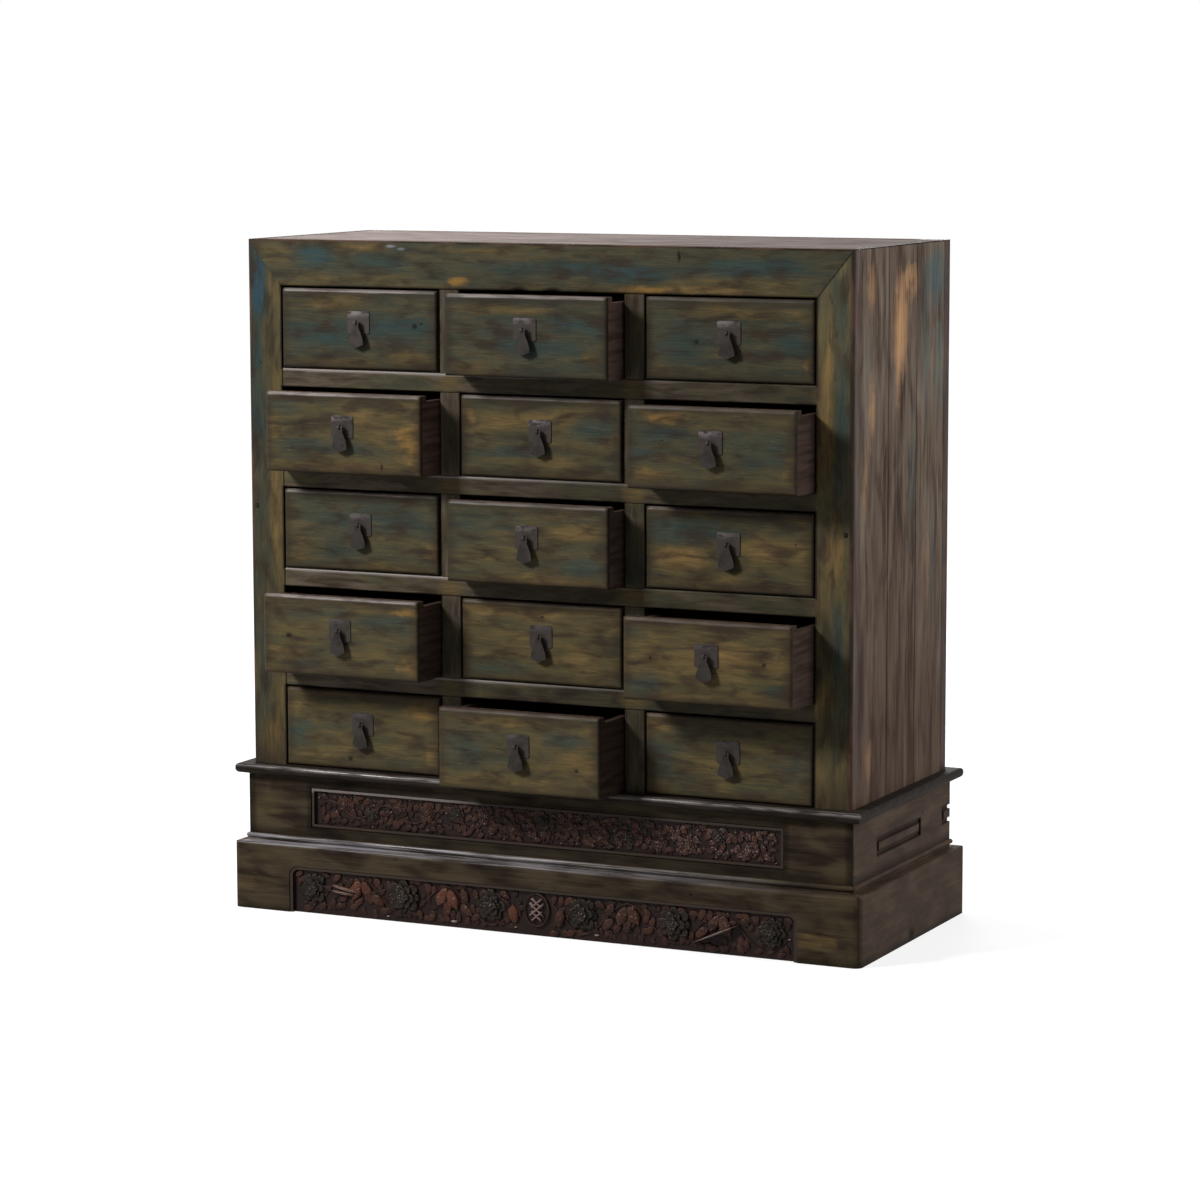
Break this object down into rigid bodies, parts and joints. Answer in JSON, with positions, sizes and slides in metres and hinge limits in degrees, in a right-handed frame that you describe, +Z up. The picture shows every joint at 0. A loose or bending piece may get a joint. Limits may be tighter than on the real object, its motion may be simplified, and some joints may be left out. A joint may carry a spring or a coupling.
{
  "type": "chinese medicine cabinet",
  "caption": "Low painted apothecary chest of small drawers, each with an iron drop pull, on a moulded and carved base.",
  "frame": {"origin": "middle of the base on the floor, below the middle of the case", "axes": "+X to the cabinet's right as its front is looked at, +Y from the drawer fronts towards the back, +Z up"},
  "size_m": [1.05, 0.5095, 1.04],
  "materials": {
    "painted_frame": "worn teal paint over ochre, rubbed through to brown wood on the edges",
    "painted_drawer": "streaked teal and ochre paint, waxed, with bright rubbed edges",
    "side_boards": "weathered grey-brown boards with remains of paint",
    "bare_boards": "plain unpainted softwood, darkened with age",
    "inner_boards": "raw dark wood, dusty",
    "top_boards": "bare pinkish-grey wood, worn smooth",
    "dark_ledge": "dark lacquered wood with a satin gloss",
    "base_paint": "dark olive-brown paint, waxed",
    "carved_wood": "red-brown lacquered carving with dark hollows",
    "iron": "forged iron, dark and slightly rusted"
  },
  "bodies": {
    "cabinet": {"corner_posts": "painted_frame", "frame_rails": "painted_frame", "drawer_rails": "painted_frame", "uprights": "painted_frame", "side_panels": "side_boards", "back_panel": "bare_boards", "drawer_shelves": "inner_boards", "dividers": "inner_boards", "drawer_guides": "inner_boards", "top_boards": "top_boards", "ledge_frame": "dark_ledge", "waist_frame": "base_paint", "waist_carving": "carved_wood", "plinth_frame": "base_paint", "plinth_carving": "carved_wood"},
    "drawer_r1c1": {"drawer_r1c1": "painted_drawer", "plate_r1c1": "iron"},
    "pull_r1c1": {"pull_r1c1": "iron"},
    "drawer_r1c2": {"drawer_r1c2": "painted_drawer", "plate_r1c2": "iron"},
    "pull_r1c2": {"pull_r1c2": "iron"},
    "drawer_r1c3": {"drawer_r1c3": "painted_drawer", "plate_r1c3": "iron"},
    "pull_r1c3": {"pull_r1c3": "iron"},
    "drawer_r2c1": {"drawer_r2c1": "painted_drawer", "plate_r2c1": "iron"},
    "pull_r2c1": {"pull_r2c1": "iron"},
    "drawer_r2c2": {"drawer_r2c2": "painted_drawer", "plate_r2c2": "iron"},
    "pull_r2c2": {"pull_r2c2": "iron"},
    "drawer_r2c3": {"drawer_r2c3": "painted_drawer", "plate_r2c3": "iron"},
    "pull_r2c3": {"pull_r2c3": "iron"},
    "drawer_r3c1": {"drawer_r3c1": "painted_drawer", "plate_r3c1": "iron"},
    "pull_r3c1": {"pull_r3c1": "iron"},
    "drawer_r3c2": {"drawer_r3c2": "painted_drawer", "plate_r3c2": "iron"},
    "pull_r3c2": {"pull_r3c2": "iron"},
    "drawer_r3c3": {"drawer_r3c3": "painted_drawer", "plate_r3c3": "iron"},
    "pull_r3c3": {"pull_r3c3": "iron"},
    "drawer_r4c1": {"drawer_r4c1": "painted_drawer", "plate_r4c1": "iron"},
    "pull_r4c1": {"pull_r4c1": "iron"},
    "drawer_r4c2": {"drawer_r4c2": "painted_drawer", "plate_r4c2": "iron"},
    "pull_r4c2": {"pull_r4c2": "iron"},
    "drawer_r4c3": {"drawer_r4c3": "painted_drawer", "plate_r4c3": "iron"},
    "pull_r4c3": {"pull_r4c3": "iron"},
    "drawer_r5c1": {"drawer_r5c1": "painted_drawer", "plate_r5c1": "iron"},
    "pull_r5c1": {"pull_r5c1": "iron"},
    "drawer_r5c2": {"drawer_r5c2": "painted_drawer", "plate_r5c2": "iron"},
    "pull_r5c2": {"pull_r5c2": "iron"},
    "drawer_r5c3": {"drawer_r5c3": "painted_drawer", "plate_r5c3": "iron"},
    "pull_r5c3": {"pull_r5c3": "iron"}
  },
  "joints": [
    {"name": "slide_r1c1", "type": "slide", "parent": "cabinet", "child": "drawer_r1c1", "axis": [0, -1, 0], "range_m": [0, 0.26]},
    {"name": "swing_r1c1", "type": "hinge", "parent": "drawer_r1c1", "child": "pull_r1c1", "pos_m": [-0.306, -0.2055, 0.91665], "axis": [-1, 0, 0], "range_deg": [-8, 150]},
    {"name": "slide_r1c2", "type": "slide", "parent": "cabinet", "child": "drawer_r1c2", "axis": [0, -1, 0], "range_m": [-0.05, 0.21]},
    {"name": "swing_r1c2", "type": "hinge", "parent": "drawer_r1c2", "child": "pull_r1c2", "pos_m": [0, -0.2555, 0.91665], "axis": [-1, 0, 0], "range_deg": [-8, 150]},
    {"name": "slide_r1c3", "type": "slide", "parent": "cabinet", "child": "drawer_r1c3", "axis": [0, -1, 0], "range_m": [0, 0.26]},
    {"name": "swing_r1c3", "type": "hinge", "parent": "drawer_r1c3", "child": "pull_r1c3", "pos_m": [0.306, -0.2055, 0.91665], "axis": [-1, 0, 0], "range_deg": [-8, 150]},
    {"name": "slide_r2c1", "type": "slide", "parent": "cabinet", "child": "drawer_r2c1", "axis": [0, -1, 0], "range_m": [-0.054, 0.206]},
    {"name": "swing_r2c1", "type": "hinge", "parent": "drawer_r2c1", "child": "pull_r2c1", "pos_m": [-0.306, -0.2595, 0.76245], "axis": [-1, 0, 0], "range_deg": [-8, 150]},
    {"name": "slide_r2c2", "type": "slide", "parent": "cabinet", "child": "drawer_r2c2", "axis": [0, -1, 0], "range_m": [0, 0.26]},
    {"name": "swing_r2c2", "type": "hinge", "parent": "drawer_r2c2", "child": "pull_r2c2", "pos_m": [0, -0.2055, 0.76245], "axis": [-1, 0, 0], "range_deg": [-8, 150]},
    {"name": "slide_r2c3", "type": "slide", "parent": "cabinet", "child": "drawer_r2c3", "axis": [0, -1, 0], "range_m": [-0.066, 0.194]},
    {"name": "swing_r2c3", "type": "hinge", "parent": "drawer_r2c3", "child": "pull_r2c3", "pos_m": [0.306, -0.2715, 0.76245], "axis": [-1, 0, 0], "range_deg": [-8, 150]},
    {"name": "slide_r3c1", "type": "slide", "parent": "cabinet", "child": "drawer_r3c1", "axis": [0, -1, 0], "range_m": [0, 0.26]},
    {"name": "swing_r3c1", "type": "hinge", "parent": "drawer_r3c1", "child": "pull_r3c1", "pos_m": [-0.306, -0.2055, 0.60825], "axis": [-1, 0, 0], "range_deg": [-8, 150]},
    {"name": "slide_r3c2", "type": "slide", "parent": "cabinet", "child": "drawer_r3c2", "axis": [0, -1, 0], "range_m": [-0.047, 0.213]},
    {"name": "swing_r3c2", "type": "hinge", "parent": "drawer_r3c2", "child": "pull_r3c2", "pos_m": [0, -0.2525, 0.60825], "axis": [-1, 0, 0], "range_deg": [-8, 150]},
    {"name": "slide_r3c3", "type": "slide", "parent": "cabinet", "child": "drawer_r3c3", "axis": [0, -1, 0], "range_m": [0, 0.26]},
    {"name": "swing_r3c3", "type": "hinge", "parent": "drawer_r3c3", "child": "pull_r3c3", "pos_m": [0.306, -0.2055, 0.60825], "axis": [-1, 0, 0], "range_deg": [-8, 150]},
    {"name": "slide_r4c1", "type": "slide", "parent": "cabinet", "child": "drawer_r4c1", "axis": [0, -1, 0], "range_m": [-0.068, 0.192]},
    {"name": "swing_r4c1", "type": "hinge", "parent": "drawer_r4c1", "child": "pull_r4c1", "pos_m": [-0.306, -0.2735, 0.45405], "axis": [-1, 0, 0], "range_deg": [-8, 150]},
    {"name": "slide_r4c2", "type": "slide", "parent": "cabinet", "child": "drawer_r4c2", "axis": [0, -1, 0], "range_m": [0, 0.26]},
    {"name": "swing_r4c2", "type": "hinge", "parent": "drawer_r4c2", "child": "pull_r4c2", "pos_m": [0, -0.2055, 0.45405], "axis": [-1, 0, 0], "range_deg": [-8, 150]},
    {"name": "slide_r4c3", "type": "slide", "parent": "cabinet", "child": "drawer_r4c3", "axis": [0, -1, 0], "range_m": [-0.08, 0.18]},
    {"name": "swing_r4c3", "type": "hinge", "parent": "drawer_r4c3", "child": "pull_r4c3", "pos_m": [0.306, -0.2855, 0.45405], "axis": [-1, 0, 0], "range_deg": [-8, 150]},
    {"name": "slide_r5c1", "type": "slide", "parent": "cabinet", "child": "drawer_r5c1", "axis": [0, -1, 0], "range_m": [0, 0.26]},
    {"name": "swing_r5c1", "type": "hinge", "parent": "drawer_r5c1", "child": "pull_r5c1", "pos_m": [-0.306, -0.2055, 0.29985], "axis": [-1, 0, 0], "range_deg": [-8, 150]},
    {"name": "slide_r5c2", "type": "slide", "parent": "cabinet", "child": "drawer_r5c2", "axis": [0, -1, 0], "range_m": [-0.079, 0.181]},
    {"name": "swing_r5c2", "type": "hinge", "parent": "drawer_r5c2", "child": "pull_r5c2", "pos_m": [0, -0.2845, 0.29985], "axis": [-1, 0, 0], "range_deg": [-8, 150]},
    {"name": "slide_r5c3", "type": "slide", "parent": "cabinet", "child": "drawer_r5c3", "axis": [0, -1, 0], "range_m": [0, 0.26]},
    {"name": "swing_r5c3", "type": "hinge", "parent": "drawer_r5c3", "child": "pull_r5c3", "pos_m": [0.306, -0.2055, 0.29985], "axis": [-1, 0, 0], "range_deg": [-8, 150]}
  ]
}
